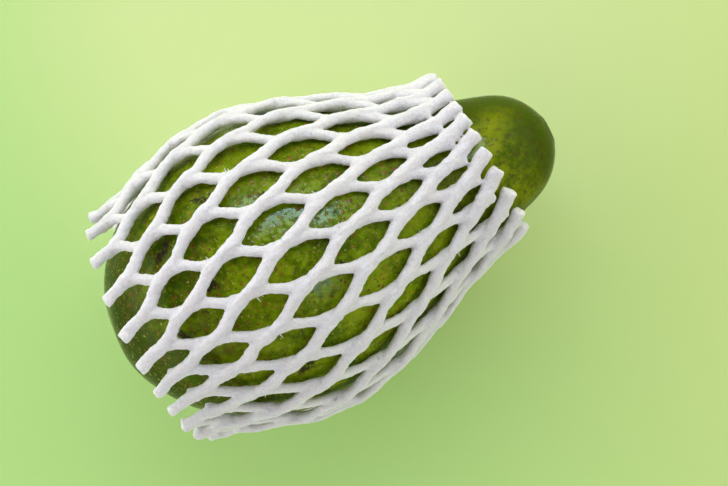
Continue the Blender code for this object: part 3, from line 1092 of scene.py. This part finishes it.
# Painted light: a brighter floor colour round one place, as a pool of light.
FLOOR_PAINTED_LIGHT = (0.75, 0.91, 0.36, 1)
FLOOR_WARM = (0.68, 0.82, 0.27, 1)
WARM_REACH = (-60, 200)
FLOOR_ROUGHNESS = 0.8
FLOOR_SPECULAR = 0.2
FLOOR_GRAIN_SIZE = 30
FLOOR_GRAIN = 0.1
# Painted light: where the pool of painted light lies on the floor, in millimetres, and how far it fades.
PAINTED_LIGHT_PLACE = (30.0, 90.0, 0.0)
PAINTED_LIGHT_REACH = (175.0, 50.0)
ROOM_COLOUR = (1.0, 0.985, 0.99)
CEILING_LIGHT = 0.24
ROOM_LIGHT = 1.72
DIM_SIDE = 0.45
CEILING_REACH = (0.85, 0.35)
LAMP_REACH = 0.92
WINDOW = (-0.03, 0.57, 0.82)
WINDOW_WIDTH = 0.78
WINDOW_HEIGHT = 0.20
WINDOW_LEAN = -14 * DEGREE
WINDOW_RADIANCE = 2.9
WINDOW_COLOUR = (0.97, 0.985, 1.0)
GLINT_RADIANCE = 112.0
GLINT_HEIGHT = 0.155
GLINT_COLOUR = (0.55, 0.89, 1.0)
SIDE_WINDOW = (0.43, -0.33, 0.84)
SIDE_WINDOW_SIZE = 0.19
SIDE_RADIANCE = 19.0


def make_floor():
    """A level sheet of paper, faint grain, a painted pool of light round one place, warmer on the neck's
    side.
    """
    corners = np.array([(-1, -1, 0), (1, -1, 0), (1, 1, 0), (-1, 1, 0)]) * FLOOR_SIZE / 2
    mesh = bpy.data.meshes.new("floor")
    mesh.from_pydata(corners.tolist(), [], [(0, 1, 2, 3)])
    floor = bpy.data.objects.new("floor", mesh)
    bpy.context.scene.collection.objects.link(floor)
    material, shader, places = start_material("pale_paper")
    away = places.vector("DISTANCE", {1: PAINTED_LIGHT_PLACE}, 1)
    grain = noise(places, FLOOR_GRAIN_SIZE, detail=2) - 0.5
    # Painted light: the floor is brighter round one place, with the faint grain laid over it.
    glow = away.step(*PAINTED_LIGHT_REACH) + grain * FLOOR_GRAIN
    colour = glow.blend(places.part(0).step(*WARM_REACH).blend(FLOOR_COLOUR, FLOOR_WARM), FLOOR_PAINTED_LIGHT)
    material.node_tree.links.new(colour.socket, shader.inputs["Base Color"])
    shader.inputs["Roughness"].default_value = FLOOR_ROUGHNESS
    shader.inputs["Specular IOR Level"].default_value = FLOOR_SPECULAR
    mesh.materials.append(material)
    return floor


def make_lamp(name, direction, lean, width, height, radiance, colour, lights_all=True):
    """An oblong lamp that faces the fruit; its power is its radiance times pi times its area.

    The direction is given as parts of the camera's right, up and back. A lamp that doesn't light all is seen
    only in reflections.
    """
    lamp = bpy.data.objects.new(name, bpy.data.lights.new(name, "AREA"))
    back = direction[0] * RIGHT + direction[1] * UP + direction[2] * BACK
    back /= np.linalg.norm(back)
    level = np.cross(UP, back)
    level /= np.linalg.norm(level)
    right = math.cos(lean) * level + math.sin(lean) * np.cross(back, level)
    lamp.matrix_world = looking(TARGET + LAMP_REACH * back, right, np.cross(back, right), back)
    lamp.visible_diffuse = lights_all
    lamp.data.shape = "RECTANGLE"
    lamp.data.size = width
    lamp.data.size_y = height
    lamp.data.energy = radiance * math.pi * width * height
    lamp.data.color = colour
    bpy.context.scene.collection.objects.link(lamp)
    return lamp


def make_world():
    """A room, bright low down and dark overhead, and brighter towards the upper left of the picture.

    Strength = 1 + DIM_SIDE * the direction's part towards the picture's upper left.
    """
    world = bpy.data.worlds.new("room")
    world.use_nodes = True
    tree = world.node_tree
    direction = Shade(tree, tree.nodes.new("ShaderNodeTexCoord").outputs["Generated"])
    ceiling = tuple(CEILING_LIGHT * part for part in ROOM_COLOUR) + (1,)
    room = tuple(ROOM_LIGHT * part for part in ROOM_COLOUR) + (1,)
    light = direction.part(2).step(*CEILING_REACH).blend(ceiling, room)
    tree.links.new(light.socket, tree.nodes["Background"].inputs["Color"])
    facing = tuple(float(part) for part in (UP - RIGHT) / math.sqrt(2))
    strength = 1 + direction.vector("DOT_PRODUCT", {1: facing}, 1) * DIM_SIDE
    tree.links.new(strength.socket, tree.nodes["Background"].inputs["Strength"])
    bpy.context.scene.world = world


make_floor()
make_world()
window_size = (WINDOW_LEAN, WINDOW_WIDTH, WINDOW_HEIGHT)
make_lamp("window", WINDOW, *window_size, WINDOW_RADIANCE, WINDOW_COLOUR)
glint_size = (WINDOW_LEAN, WINDOW_WIDTH, GLINT_HEIGHT)
make_lamp("window_glint", WINDOW, *glint_size, GLINT_RADIANCE, GLINT_COLOUR, lights_all=False)
side_size = (0.0, SIDE_WINDOW_SIZE, SIDE_WINDOW_SIZE)
make_lamp("side_glint", SIDE_WINDOW, *side_size, SIDE_RADIANCE, GLINT_COLOUR, lights_all=False)
bpy.context.scene.view_settings.view_transform = "Standard"
print("lamps:", len(bpy.data.lights))

# %% [markdown]
# ## Last step
# The dressed object stands in for the solids, so it has to keep their size. Last, the view layer is
# brought up to date.

# %% Bring the view layer up to date
bpy.context.view_layer.update()
